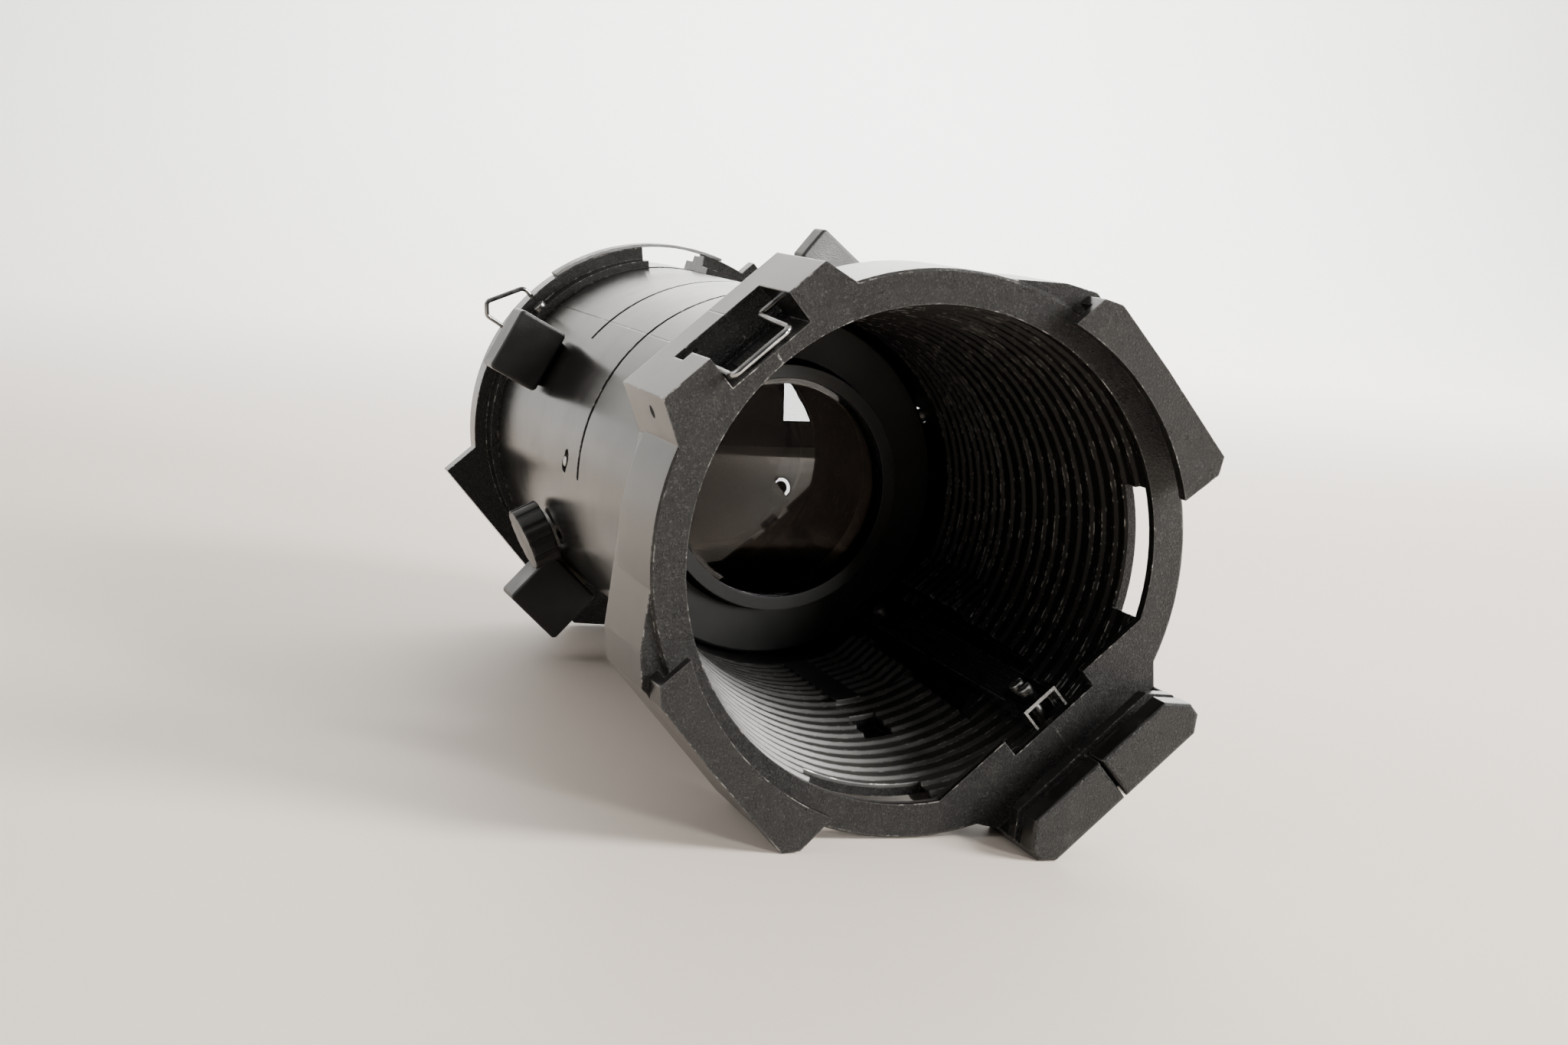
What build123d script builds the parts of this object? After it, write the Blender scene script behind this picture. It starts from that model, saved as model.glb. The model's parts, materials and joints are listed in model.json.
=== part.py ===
from build123d import *
import math
import os

os.makedirs("parts", exist_ok=True)

# ---------------------------------------------------------------- driving sizes (mm, degrees)
LENGTH = 362.0          # mouth face to rear mounting face
ROLL = 43.0             # how far the tube is rolled about its own axis as it lies
COLOUR_FRAME = 190.5    # side of the square colour frame that the mouth holds
FRAME_PLAY = 1.25       # room beside the colour frame, each side

MOUTH_R = 87.5          # clear radius of the mouth ring
RING_R = 99.7           # outside radius of the mouth ring
RING_T = 4.0            # thickness of the mouth ring plate
CHORD_V = -72.5         # flat lower edge of the mouth opening
HEAD_DEPTH = 46.0       # how far the head reaches back before the barrel shows
BARREL_R = 78.0
BORE_R = 74.0           # inside radius of the barrel behind the baffles
LAST_BAFFLE = 150.0     # depth at which the stepped baffles end

FRAME_HALF = COLOUR_FRAME / 2 + FRAME_PLAY
BAR_U = 104.2           # outer face of the side bars
BAR_TOP, BAR_FOOT = 35.0, -39.6
BAR_LIP_R = 93.5        # concentric inner edge of the side bars' front lip
SLOT_T = 8.8            # width of the colour frame slot
LIP_T = 4.5             # front lip of the side bars
SECOND_LIP = 14.0       # front of the middle lip of the bottom bar
BOTTOM_BAR_FRONT = 28.0
BOTTOM_BAR_BACK = 18.5

LATCH_U = -3.5          # centre of the top latch block
LATCH_TOP = 105.0
LATCH_DEPTH = 48.0
POCKET_DEPTH = 30.0
BAIL_R = 1.25           # latch wire
BAIL_PIVOT = (23.0, 99.0)   # depth and height of the latch wire's pivot
BAIL_U, BAIL_HALF = -4.5, 12.5

RAIL_U = 1.5            # centre of the lens guide rail
RAIL_W, RAIL_TOP, RAIL_T = 12.6, -70.0, 1.4
RAIL_FRONT, RAIL_REAR = 8.0, 262.0
KEEL_FLOOR, KEEL_BOTTOM, KEEL_HALF = -80.5, -90.0, 20.0

CARRIAGE_R = 71.6
FRONT_LENS_D, REAR_LENS_D = 163.0, 240.0    # depth of each carriage plate
LENS_R = 46.8
FRONT_TRAVEL, REAR_TRAVEL = (0.0, 33.0), (-12.0, 10.0)

KNOB_R, KNOB_H = 14.0, 14.0
REAR_KNOB_AZ, FRONT_KNOB_AZ = -74.0, 108.0
STUD_R = 3.0

HOUSING_D = 336.0       # front face of the shutter housing plate
PLATE_T = 8.0
PLATE_HALF = 89.5
PLATE_CUT = 50.4
RING_OUT = 87.0
REAR_BORE_R = 70.0
BOLT_CIRCLE, BOLT_R = 150.0, 2.6

# name, direction round the tube, depth of the blade, depth of the grip's front face, how far
# it is pulled out, radius where its grip starts when pushed in, grip reach, grip half-width
SHUTTERS = [
    ("top", -21.0, 273.0, 260.0, 0.0, 80.0, 23.0, 14.5),
    ("left", -95.5, 277.0, 262.0, 0.0, 80.0, 27.0, 14.5),
    ("right", 80.0, 285.0, 276.0, 20.0, 80.0, 17.5, 17.0),
    ("bottom", 168.0, 281.0, 266.0, 0.0, 93.5, 18.0, 14.5),
]
BLADE_T, BLADE_NECK, BLADE_HALF = 1.2, 11.0, 26.0
BLADE_EDGE, BLADE_SHOULDER = 12.0, 34.0     # radii where a pushed-in blade begins and narrows

COS, SIN = math.cos(math.radians(ROLL)), math.sin(math.radians(ROLL))
RIGHT = Vector(COS, 0, SIN)     # the tube's own right-hand direction
UP = Vector(-SIN, 0, COS)       # the tube's own upward direction


def place(u, v, depth):
    """A point given across the tube, up the tube and behind the mouth face."""
    return RIGHT * u + UP * v + Vector(0, depth - LENGTH, 0)


def across(depth, u=0.0, v=0.0):
    """A sketch plane square to the axis; extrude(amount=-t) goes t deeper."""
    return Plane(origin=place(u, v, depth), x_dir=RIGHT, z_dir=(0, -1, 0))


def radial_dir(azimuth):
    angle = math.radians(azimuth)
    return RIGHT * math.sin(angle) + UP * math.cos(angle)


def polar(radius, azimuth):
    angle = math.radians(azimuth)
    return radius * math.sin(angle), radius * math.cos(angle)


def side_plane(azimuth=0.0):
    """A plane through the axis: x is the radius at the azimuth, y is the depth."""
    out = radial_dir(azimuth)
    return Plane(origin=place(0, 0, 0), x_dir=out, z_dir=out.cross(Vector(0, 1, 0)))


def outward(azimuth, depth, radius):
    """A plane facing out of the tube: x is the depth, z is the radius."""
    out = radial_dir(azimuth)
    return Plane(origin=place(0, 0, depth) + out * radius, x_dir=(0, 1, 0), z_dir=out)


def sector(inner, outer, start, end):
    """An annular sector between two azimuths less than half a turn apart, in a sketch."""
    reach = 3 * outer
    Circle(outer)
    Circle(inner, mode=Mode.SUBTRACT)
    Polygon((0, 0), polar(reach, start), polar(reach, (start + end) / 2), polar(reach, end),
            align=None, mode=Mode.INTERSECT)


def finish(part, name):
    part.label = name
    export_step(part, f"parts/{name}.step")


# ---------------------------------------------------------------- cast barrel and head
BAFFLE_PITCH = 7.3
BAFFLE_LIP = 1.5
BAFFLE_DIP, BAFFLE_CREST = 0.62 * BAFFLE_PITCH, 0.74 * BAFFLE_PITCH


def baffle_radius(depth):
    """Clear radius of the baffles: it narrows behind the head, then stays with the barrel."""
    narrowing = min(1, max(0, (depth - RING_T) / (HEAD_DEPTH + 44 - RING_T)))
    return MOUTH_R - 1.0 + (BORE_R - 0.8 - MOUTH_R + 1.0) * narrowing


def cavity_profile():
    """Radius and depth down the inside: a staircase of baffles, then the plain bore."""
    points = [(0, -1), (MOUTH_R, -1), (MOUTH_R, RING_T)]
    for step in range(int((LAST_BAFFLE - RING_T) / BAFFLE_PITCH)):
        depth = RING_T + step * BAFFLE_PITCH
        radius = baffle_radius(depth)
        points += [(radius + BAFFLE_LIP, depth), (radius + BAFFLE_LIP, depth + BAFFLE_DIP)]
        points += [(radius, depth + BAFFLE_CREST), (radius, depth + BAFFLE_PITCH)]
    points += [(BORE_R, LAST_BAFFLE), (BORE_R, HOUSING_D + 3), (0, HOUSING_D + 3)]
    return points


with BuildPart() as cavity:
    with BuildSketch(side_plane()):
        with BuildLine():
            Polyline(*cavity_profile(), close=True)
        make_face()
    revolve(axis=Axis(place(0, 0, 0), (0, 1, 0)))

# stepped flats beside the rail channel: where each starts and ends across the tube
PADS = [(16.5, 33.0), (-13.5, -24.0)]
PAD_STEPS = (12, 20)
PAD_BASE, PAD_EMBED_R = -74.0, 76.5


def pad_profile(reach):
    """Steps in line with the baffles, on a flat that meets them at the given reach sideways."""
    first, last = (RING_T + step * BAFFLE_PITCH - LENGTH for step in PAD_STEPS)
    points = [(last, PAD_BASE), (first, PAD_BASE)]
    for step in range(*PAD_STEPS):
        depth = RING_T + step * BAFFLE_PITCH
        crest = -math.sqrt(baffle_radius(depth) ** 2 - reach ** 2)
        points += [(depth - LENGTH, crest - BAFFLE_LIP), (depth - LENGTH + BAFFLE_DIP, crest - BAFFLE_LIP)]
        points += [(depth - LENGTH + BAFFLE_CREST, crest), (depth - LENGTH + BAFFLE_PITCH, crest)]
    return points


# the mouth plate closes the lowest part of the opening, with a notch for the rail
NOTCH_HALF, NOTCH_FLOOR = 19.0, -79.5
with BuildPart() as mouth_plate:
    with BuildSketch(across(0)):
        Circle(MOUTH_R + 0.5)
        with Locations((0, CHORD_V + MOUTH_R + 10)):
            Rectangle(3 * MOUTH_R, 2 * MOUTH_R + 20, mode=Mode.SUBTRACT)
        with Locations((RAIL_U, CHORD_V)):
            Rectangle(2 * NOTCH_HALF, 2 * (CHORD_V - NOTCH_FLOOR), mode=Mode.SUBTRACT)
    extrude(amount=-RING_T)

CHANNEL_HALF, CHANNEL_END = 16.0, 140.0
SEAM_SCREWS = (96.0, 176.0, 256.0, 322.0)
SEAM_SCREW_R, SEAM_V, SEAM_DEEP = 2.0, -85.3, 12.0
PIN_REACH = 22.0
SIDE_SCREW_AZ, SIDE_SCREW_D, SIDE_SHANK_R = -46.6, 200.0, 1.2
RAIL_SCREWS, RAIL_SCREW_U, RAIL_SCREW_R = (12.0, 18.5, 150.0, 250.0), 2.0, 1.5
COLLAR_SCREWS, COLLAR_SCREW_D, COLLAR_SCREW_R = (-125.0, -5.0, 115.0), 331.0, 1.6
SPLIT = Plane(origin=(0, 0, 0), x_dir=(0, 1, 0), z_dir=RIGHT)   # x is along the axis, y is up
POCKET_LEFT, POCKET_RIGHT, POCKET_FLOOR = -18.6, 15.7, 92.5
TOP_HALF, TOP_ROOT = 35.5, 42.0
SHOULDER_STEP = 1.2
VENT_START, VENT_END, VENT_REAR = 115.0, 146.0, 18.0
VENT_WALL_R, VENT_RELIEF_REAR = 90.0, 63.0    # the wall behind each vent is thinned from outside
# smooth strip down the baffles, with a pocket in front of it
STRIP_START, STRIP_END, STRIP_FRONT = -151.0, -143.0, 89.0
STRIP_POCKET_FRONT, STRIP_POCKET_REAR, STRIP_POCKET_R = 58.0, 76.0, 82.6
pads = []
for start, reach in PADS:
    with BuildPart() as pad_block:
        with BuildSketch(SPLIT.offset(start)):
            with BuildLine():
                Polyline(*pad_profile(reach), close=True)
            make_face()
        extrude(amount=reach - start)
        with BuildSketch(across(0)):
            Circle(PAD_EMBED_R)
        extrude(amount=-LENGTH, mode=Mode.INTERSECT)
    pads.append(pad_block.part)

with BuildPart() as barrel:
    with BuildSketch(side_plane()):
        with BuildLine():
            Polyline((0, 0), (RING_R - 0.8, 0), (RING_R, 0.8), (RING_R, HEAD_DEPTH - 6), (96, HEAD_DEPTH),
                     (BARREL_R + 6, HEAD_DEPTH + 34), (BARREL_R, HEAD_DEPTH + 48),
                     (BARREL_R, HOUSING_D), (0, HOUSING_D), close=True)
        make_face()
    revolve(axis=Axis(place(0, 0, 0), (0, 1, 0)))
    # shoulders that run from the latch block down to the side bars, a step behind the ring
    with BuildSketch(across(SHOULDER_STEP)):
        Polygon((-TOP_ROOT + LATCH_U, 88), (-73, 65.5), (-97, 43), (-BAR_U, 33), (-BAR_U, BAR_FOOT + 6),
                (-BAR_U + 5.2, BAR_FOOT - 3.6), (-80, -52), (-60, 0), (-40, 60), align=None)
        Polygon((TOP_ROOT + LATCH_U, 88), (73, 65.5), (97, 43), (BAR_U, 33), (BAR_U, BAR_FOOT + 6),
                (BAR_U - 5.2, BAR_FOOT - 3.6), (80, -52), (60, 0), (40, 60), align=None)
    extrude(amount=-(HEAD_DEPTH - SHOULDER_STEP))
    # latch block on top
    with BuildSketch(across(0)):
        Polygon((LATCH_U - TOP_ROOT, 70), (LATCH_U - TOP_ROOT, 87), (LATCH_U - TOP_HALF, LATCH_TOP),
                (LATCH_U + TOP_HALF, LATCH_TOP), (LATCH_U + TOP_ROOT, 87), (LATCH_U + TOP_ROOT, 70),
                align=None)
    extrude(amount=-LATCH_DEPTH)
    # front corner bar below the mouth: a web that carries the frame's lower edge
    with BuildSketch(across(12)):
        Polygon((-50, -80), (-38.5, -96.5), (-38.5, -101), (-33.5, -105.5), (33.5, -105.5),
                (38.5, -101), (38.5, -96.5), (50, -80), align=None)
    extrude(amount=SLOT_T + 12)
    with BuildSketch(across(0)):
        Rectangle(110, 2 * FRAME_HALF)
    extrude(amount=40, mode=Mode.SUBTRACT)
    # keel along the underside, which holds the rail channel and the seam screws
    with BuildSketch(across(HEAD_DEPTH - 20)):
        with Locations((RAIL_U, (KEEL_BOTTOM - 60) / 2)):
            Rectangle(2 * KEEL_HALF, -60 - KEEL_BOTTOM)
    extrude(amount=-(HOUSING_D - HEAD_DEPTH + 20))
    add(cavity.part, mode=Mode.SUBTRACT)
    for half_width, first, last in (
            (CHANNEL_HALF, RING_T, CHANNEL_END), (KEEL_HALF - 9, CHANNEL_END, HOUSING_D)):
        with BuildSketch(across(first)):
            with Locations((RAIL_U, (KEEL_FLOOR - 60) / 2)):
                Rectangle(2 * half_width, -60 - KEEL_FLOOR)
        extrude(amount=-(last - first), mode=Mode.SUBTRACT)
    add(mouth_plate.part)
    for pad in pads:
        add(pad)
    # side bars: outer wall, colour frame slot and front lip
    for side in (-1, 1):
        with BuildSketch(across(0)):
            Polygon((side * FRAME_HALF, BAR_TOP), (side * (BAR_U - 4), BAR_TOP), (side * BAR_U, BAR_TOP - 6),
                    (side * (BAR_U + 0.6), 0), (side * BAR_U, BAR_FOOT),
                    (side * (BAR_U - 5.5), BAR_FOOT - 4.0), (side * FRAME_HALF, BAR_FOOT - 3), align=None)
        extrude(amount=SLOT_T + 0.1)
        with BuildSketch(across(-SLOT_T)):
            Polygon((side * 60, BAR_TOP), (side * (BAR_U - 4), BAR_TOP), (side * BAR_U, BAR_TOP - 6),
                    (side * (BAR_U + 0.6), 0), (side * BAR_U, BAR_FOOT),
                    (side * (BAR_U - 5.5), BAR_FOOT - 4.0), (side * 60, BAR_FOOT - 1), align=None)
            Circle(BAR_LIP_R, mode=Mode.SUBTRACT)
        extrude(amount=LIP_T)
    # latch pocket, open to the front and the top, with a sloping back
    for reach in (-POCKET_LEFT, -POCKET_RIGHT):
        with BuildSketch(side_plane()):
            with BuildLine():
                Polyline((POCKET_FLOOR, -1), (LATCH_TOP + 2, -1), (LATCH_TOP + 2, POCKET_DEPTH),
                         (104.0, POCKET_DEPTH), (94.5, 25.5), (POCKET_FLOOR, 25.5), close=True)
            make_face()
        extrude(amount=reach, mode=Mode.SUBTRACT)
    # undercut at the pocket's left rear corner
    with BuildSketch(across(20)):
        with Locations((POCKET_LEFT, LATCH_TOP)):
            Rectangle(8, 7)
    extrude(amount=-(POCKET_DEPTH - 20), mode=Mode.SUBTRACT)
    # pivot holes of the latch wire
    with BuildSketch(SPLIT):
        with Locations((BAIL_PIVOT[0] - LENGTH, BAIL_PIVOT[1])):
            Circle(BAIL_R + 0.05)
    extrude(amount=PIN_REACH, both=True, mode=Mode.SUBTRACT)
    # seam screw holes across the keel
    for reach in (RAIL_U + KEEL_HALF + 1, -SEAM_DEEP):
        with BuildSketch(SPLIT):
            with Locations(*[(depth - LENGTH, SEAM_V) for depth in SEAM_SCREWS]):
                Circle(SEAM_SCREW_R + 0.05)
        extrude(amount=reach, mode=Mode.SUBTRACT)
    # vents behind the mouth ring, each side of the bottom
    for side in (-1, 1):
        with BuildSketch(across(RING_T)):
            sector(80.0, 112.0, side * VENT_START, side * VENT_END)
        extrude(amount=-(VENT_REAR - RING_T), mode=Mode.SUBTRACT)
        with BuildSketch(across(RING_T)):
            sector(VENT_WALL_R, 112.0, side * (VENT_START - 2), side * (VENT_END + 3))
        extrude(amount=-(VENT_RELIEF_REAR - RING_T), mode=Mode.SUBTRACT)
    # smooth strip and pocket at the lower left of the bore
    with BuildSketch(across(STRIP_FRONT)):
        sector(BORE_R - 0.8, BORE_R + 2, STRIP_START, STRIP_END)
    extrude(amount=-(LAST_BAFFLE - STRIP_FRONT))
    with BuildSketch(across(STRIP_POCKET_FRONT)):
        sector(BORE_R - 4, STRIP_POCKET_R, STRIP_START, STRIP_END)
    extrude(amount=-(STRIP_POCKET_REAR - STRIP_POCKET_FRONT), mode=Mode.SUBTRACT)
    # arc slots round the barrel
    for depth, start, end in ((179.0, -50.0, 48.0), (237.0, -8.0, 48.0)):
        with BuildSketch(across(depth - 1.3)):
            sector(BARREL_R - 1.6, BARREL_R + 4, start, end)
        extrude(amount=-2.6, mode=Mode.SUBTRACT)
    # slots that the clamp studs of the two lens carriages run in
    for azimuth, first, last in (
            (REAR_KNOB_AZ, REAR_LENS_D + 6 + REAR_TRAVEL[0] - 4, REAR_LENS_D + 6 + REAR_TRAVEL[1] + 4),
            (FRONT_KNOB_AZ, FRONT_LENS_D + 6 + FRONT_TRAVEL[0] - 4, FRONT_LENS_D + 6 + FRONT_TRAVEL[1] + 4)):
        with BuildSketch(outward(azimuth, (first + last) / 2, BORE_R - 3)):
            SlotOverall(last - first, 2 * STUD_R + 0.8)
        extrude(amount=12, mode=Mode.SUBTRACT)
    # openings that the shutter blades slide through
    for name, azimuth, depth, front, pulled, start, reach, half in SHUTTERS:
        with BuildSketch(outward(azimuth, depth, BORE_R - 8)):
            Rectangle(BLADE_T + 1.2, 2 * BLADE_NECK + 3)
        extrude(amount=30, mode=Mode.SUBTRACT)
    # small screw seat on the upper left of the barrel
    with BuildSketch(outward(SIDE_SCREW_AZ, SIDE_SCREW_D, BARREL_R - 1.5)):
        SlotOverall(11, 6.5, rotation=58)
    extrude(amount=4, mode=Mode.SUBTRACT)
    with BuildSketch(outward(SIDE_SCREW_AZ, SIDE_SCREW_D, BORE_R + 0.6)):
        Circle(SIDE_SHANK_R)
    extrude(amount=4, mode=Mode.SUBTRACT)
    # holes for the screws that hold the rail down
    with BuildSketch(Plane(origin=place(0, KEEL_FLOOR, 0), x_dir=(0, 1, 0), z_dir=-UP)):
        with Locations(*[(depth, RAIL_SCREW_U) for depth in RAIL_SCREWS]):
            Circle(RAIL_SCREW_R)
    extrude(amount=7, mode=Mode.SUBTRACT)
    # holes for the collar screws at the rear end
    for azimuth in COLLAR_SCREWS:
        with BuildSketch(outward(azimuth, COLLAR_SCREW_D, BORE_R + 0.4)):
            Circle(COLLAR_SCREW_R)
        extrude(amount=6, mode=Mode.SUBTRACT)

# bottom bar: a middle lip behind and two rounded jaws in front, one to each casting half
LIP_HALF, LIP_SHOULDER, LIP_TOP, BAR_BOTTOM = 31.0, 38.5, -88.3, -105.7
HALF_GAP = 0.05
for name, side, keep in (("left", -1, Keep.BOTTOM), ("right", 1, Keep.TOP)):
    with BuildPart() as jaw:
        with BuildSketch(across(-BOTTOM_BAR_BACK)):
            Polygon((side * 0.4, LIP_TOP), (side * LIP_HALF, LIP_TOP), (side * LIP_SHOULDER, -96),
                    (side * LIP_SHOULDER, -101), (side * 33.3, BAR_BOTTOM),
                    (side * 0.4, BAR_BOTTOM), align=None)
        extrude(amount=BOTTOM_BAR_FRONT - BOTTOM_BAR_BACK)
        fillet(jaw.faces().sort_by(Axis.Y)[0].edges(), 2.0)
    with BuildPart() as half:
        add(barrel.part)
        split(bisect_by=SPLIT.offset(side * HALF_GAP), keep=keep)
        with BuildSketch(across(-SLOT_T + 0.1)):
            Polygon((side * HALF_GAP, LIP_TOP), (side * LIP_HALF, LIP_TOP), (side * LIP_SHOULDER, -96),
                    (side * LIP_SHOULDER, -101), (side * 33.3, BAR_BOTTOM),
                    (side * HALF_GAP, BAR_BOTTOM), align=None)
        extrude(amount=SECOND_LIP - SLOT_T + 0.1)
        with BuildSketch(across(-SECOND_LIP)):
            Polygon((side * HALF_GAP, -97), (side * LIP_SHOULDER, -97), (side * LIP_SHOULDER, -101),
                    (side * 33.3, BAR_BOTTOM), (side * HALF_GAP, BAR_BOTTOM), align=None)
        extrude(amount=BOTTOM_BAR_BACK - SECOND_LIP)
        add(jaw.part)
    finish(half.part, f"barrel_{name}")

# ---------------------------------------------------------------- latch wire
bail_depth, bail_v = BAIL_PIVOT
BAIL_FRONT, BAIL_DROP, PIN_END = -4.5, 2.2, 0.6
with BuildPart() as latch_wire:
    with BuildLine() as wire_path:
        FilletPolyline(
            place(-PIN_REACH + PIN_END, bail_v, bail_depth), place(BAIL_U - BAIL_HALF, bail_v, bail_depth),
            place(BAIL_U - BAIL_HALF, bail_v - BAIL_DROP, BAIL_FRONT),
            place(BAIL_U + BAIL_HALF, bail_v - BAIL_DROP, BAIL_FRONT),
            place(BAIL_U + BAIL_HALF, bail_v, bail_depth), place(PIN_REACH - PIN_END, bail_v, bail_depth),
            radius=(1.3, 2.6, 2.6, 2.0))
    with BuildSketch(Plane(origin=wire_path.line @ 0, z_dir=wire_path.line % 0)):
        Circle(BAIL_R)
    sweep()
finish(latch_wire.part, "latch_wire")

# leaf spring under the latch wire, riveted to the pocket floor
with BuildPart() as latch_spring:
    with BuildSketch(across(4)):
        with Locations((BAIL_U, POCKET_FLOOR + 0.4)):
            Rectangle(12, 0.8)
    extrude(amount=-15)
finish(latch_spring.part, "latch_spring")

# ---------------------------------------------------------------- lens carriages
CARRIAGE_T = 4.0
TUBE_FRONT, TUBE_REAR = 12.0, 20.0
NOTCH_CLEAR, SCREW_CLEAR = 1.0, 2.6
BOSS_R = 5.5


def carriage(depth, lens_radius, front, rear, knob_azimuth):
    """A plate that slides along the barrel, with the lens tube through its middle."""
    with BuildPart() as body:
        with BuildSketch(side_plane()):
            with BuildLine():
                Polyline((lens_radius - 1.6, depth - front), (lens_radius + 4, depth - front),
                         (lens_radius + 6, depth), (CARRIAGE_R - 1, depth), (CARRIAGE_R, depth + 1),
                         (CARRIAGE_R, depth + 12), (CARRIAGE_R - 2.4, depth + 12),
                         (CARRIAGE_R - 2.4, depth + CARRIAGE_T), (lens_radius + 3, depth + CARRIAGE_T),
                         (lens_radius + 3, depth + rear), (lens_radius, depth + rear),
                         (lens_radius, depth - front + 3), (lens_radius - 1.6, depth - front + 3), close=True)
            make_face()
        revolve(axis=Axis(place(0, 0, 0), (0, 1, 0)))
        # runs astride the rail, clear of its screw heads
        with BuildSketch(across(depth - 2)):
            with Locations((RAIL_U, RAIL_TOP - 2)):
                Rectangle(RAIL_W + 2 * NOTCH_CLEAR, 2 * SCREW_CLEAR + 4)
        extrude(amount=-18, mode=Mode.SUBTRACT)
        # boss that takes the clamp stud
        with BuildSketch(outward(knob_azimuth, depth + 6, lens_radius + 3.4)):
            Circle(BOSS_R)
        extrude(amount=CARRIAGE_R - lens_radius - 4.2)
        with BuildSketch(outward(knob_azimuth, depth + 6, lens_radius + 6)):
            Circle(STUD_R)
        extrude(amount=40, mode=Mode.SUBTRACT)
    return body.part


def sagitta(sag, radius, x):
    """Height of a spherical cap of the given sag and rim radius, lost at distance x from its middle."""
    ball = (radius ** 2 + sag ** 2) / (2 * sag)
    return ball - math.sqrt(ball ** 2 - x ** 2)


def lens(depth, radius, front_sag, rear_sag, edge):
    """A lens with two spherical faces, as a solid of revolution."""
    curved = radius - 4.0
    middle = 0.5 * curved
    front, rear = depth - front_sag, depth + edge + rear_sag
    with BuildPart() as glass:
        with BuildSketch(side_plane()):
            with BuildLine():
                Line((0, front), (0, rear))
                ThreePointArc((0, rear), (middle, rear - sagitta(rear_sag, curved, middle)),
                              (curved, depth + edge))
                Polyline((curved, depth + edge), (radius, depth + edge), (radius, depth), (curved, depth))
                ThreePointArc((curved, depth), (middle, front + sagitta(front_sag, curved, middle)),
                              (0, front))
            make_face()
        revolve(axis=Axis(place(0, 0, 0), (0, 1, 0)))
    return glass.part


def ring(depth, inner, outer, thickness):
    with BuildPart() as body:
        with BuildSketch(across(depth)):
            Circle(outer)
            Circle(inner, mode=Mode.SUBTRACT)
        extrude(amount=-thickness)
    return body.part


def knob(azimuth, depth):
    """A fluted clamp knob that stands out of the barrel."""
    with BuildPart() as body:
        with BuildSketch(outward(azimuth, depth, BARREL_R + 2.4)):
            Circle(KNOB_R)
            with PolarLocations(KNOB_R + 0.6, 12):
                Circle(1.5, mode=Mode.SUBTRACT)
        extrude(amount=KNOB_H - 2.4)
        chamfer(body.faces().sort_by(SortBy.DISTANCE)[-1].edges(), 0.8)
        with BuildSketch(outward(azimuth, depth, BARREL_R + 2.4)):
            Circle(STUD_R + 0.05)
        extrude(amount=KNOB_H - 4.7, mode=Mode.SUBTRACT)
    return body.part


def stud(azimuth, depth, lens_radius):
    with BuildPart() as body:
        with BuildSketch(outward(azimuth, depth, lens_radius + 6)):
            Circle(STUD_R)
        extrude(amount=BARREL_R + 2.4 + KNOB_H - 5 - lens_radius - 6)
    return body.part


def washer(azimuth, depth):
    with BuildPart() as body:
        with BuildSketch(outward(azimuth, depth, BARREL_R + 0.4)):
            Circle(9)
            Circle(STUD_R, mode=Mode.SUBTRACT)
        extrude(amount=1.6)
    return body.part


EDGE = 5.0
REAR_LENS_R = 40.0
for name, depth, radius, front, rear, azimuth in (
        ("front", FRONT_LENS_D, LENS_R, TUBE_FRONT, TUBE_REAR, FRONT_KNOB_AZ),
        ("rear", REAR_LENS_D, REAR_LENS_R, 6.0, 14.0, REAR_KNOB_AZ)):
    finish(carriage(depth, radius, front, rear, azimuth), f"{name}_lens_carriage")
    seat = depth - front + 3.0
    finish(lens(seat, radius - 0.05, 2.6, 1.2, EDGE), f"{name}_lens")
    finish(ring(seat + EDGE, radius - 3.5, radius - 0.05, 3.0), f"{name}_lens_retainer")
    finish(knob(azimuth, depth + 6), f"{name}_knob")
    finish(stud(azimuth, depth + 6, radius), f"{name}_knob_stud")
    finish(washer(azimuth, depth + 6), f"{name}_knob_washer")

# ---------------------------------------------------------------- guide rail
CLIP_T, CLIP_FRONT, CLIP_LENGTH, TONGUE_END = 0.9, -0.5, 8.3, 21.5
RAIL_SCREW_PLANE = Plane(origin=place(0, RAIL_TOP + 2, 0), x_dir=(0, 1, 0), z_dir=-UP)
with BuildPart() as guide_rail:
    with BuildSketch(across(RAIL_FRONT)):
        with Locations((RAIL_U, (RAIL_TOP + KEEL_FLOOR) / 2)):
            Rectangle(RAIL_W, RAIL_TOP - KEEL_FLOOR)
        with Locations((RAIL_U, (RAIL_TOP + KEEL_FLOOR) / 2 - RAIL_T)):
            Rectangle(RAIL_W - 2 * RAIL_T, RAIL_TOP - KEEL_FLOOR, mode=Mode.SUBTRACT)
    extrude(amount=-(RAIL_REAR - RAIL_FRONT))
    with BuildSketch(RAIL_SCREW_PLANE):
        with Locations(*[(depth, RAIL_SCREW_U) for depth in RAIL_SCREWS]):
            Circle(RAIL_SCREW_R)
    extrude(amount=4, mode=Mode.SUBTRACT)
finish(guide_rail.part, "guide_rail")

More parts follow.
